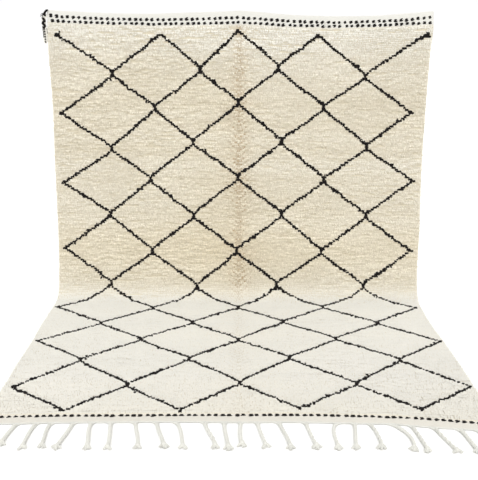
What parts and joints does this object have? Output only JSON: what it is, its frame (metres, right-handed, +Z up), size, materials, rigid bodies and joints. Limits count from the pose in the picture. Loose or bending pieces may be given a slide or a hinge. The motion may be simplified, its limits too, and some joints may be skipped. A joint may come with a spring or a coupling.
{
  "type": "beni ourain rug",
  "caption": "Thick ivory wool pile rug with a black lattice, held up by its top edge and run out over the floor, with tassels along its front edge.",
  "frame": {"origin": "middle of the footprint, on the floor", "axes": "+Z up, +X across the rug's width to the viewer's right, +Y towards the hanging part, -Y towards the fringe"},
  "size_m": [2.0842, 1.6447, 1.5713],
  "materials": {
    "ivory_wool": "undyed ivory wool, hand-knotted pile with lines of black-brown wool, flat-woven at both ends",
    "ivory_warp": "thick plied ivory warp cords, knotted and frayed at the tip",
    "plaited_yarn": "flat plait of ivory and black wool yarn"
  },
  "bodies": {
    "root": {"rug": "ivory_wool", "fringe": "ivory_warp", "corner_tail": "plaited_yarn"}
  },
  "joints": []
}
